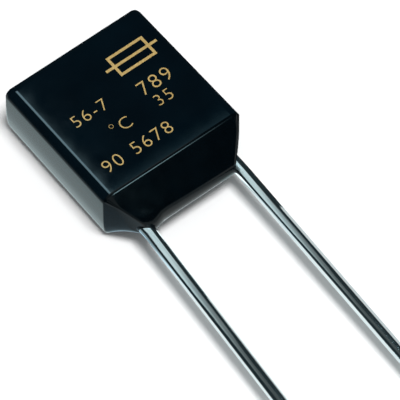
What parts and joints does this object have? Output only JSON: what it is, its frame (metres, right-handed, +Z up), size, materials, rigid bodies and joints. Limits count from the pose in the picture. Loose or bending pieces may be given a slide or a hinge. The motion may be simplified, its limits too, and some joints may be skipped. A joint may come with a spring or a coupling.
{
  "type": "thermal fuse",
  "caption": "Square radial-lead thermal fuse: black moulded case, tapered resin seal and tinned wire leads. A hidden alloy link melts at a set temperature and opens the circuit.",
  "frame": {"origin": "centre of the flat back of the case, on which the fuse lies", "axes": "+Z up out of the printed top face, +Y towards the closed end of the case, so the leads run towards -Y; +X to the right, seen from above with the leads pointing down"},
  "size_m": [0.0086, 0.0388, 0.003],
  "materials": {
    "case": "glossy black moulded plastic with gold print on its top face",
    "resin": "glossy black epoxy, cured as poured",
    "tinned_wire": "bright tin on copper wire",
    "alloy": "grey low-melting alloy",
    "flux": "amber rosin"
  },
  "bodies": {
    "root": {"case": "case", "sealing_resin": "resin", "left_lead": "tinned_wire", "right_lead": "tinned_wire", "fusible_link": "alloy", "flux": "flux"}
  },
  "joints": []
}
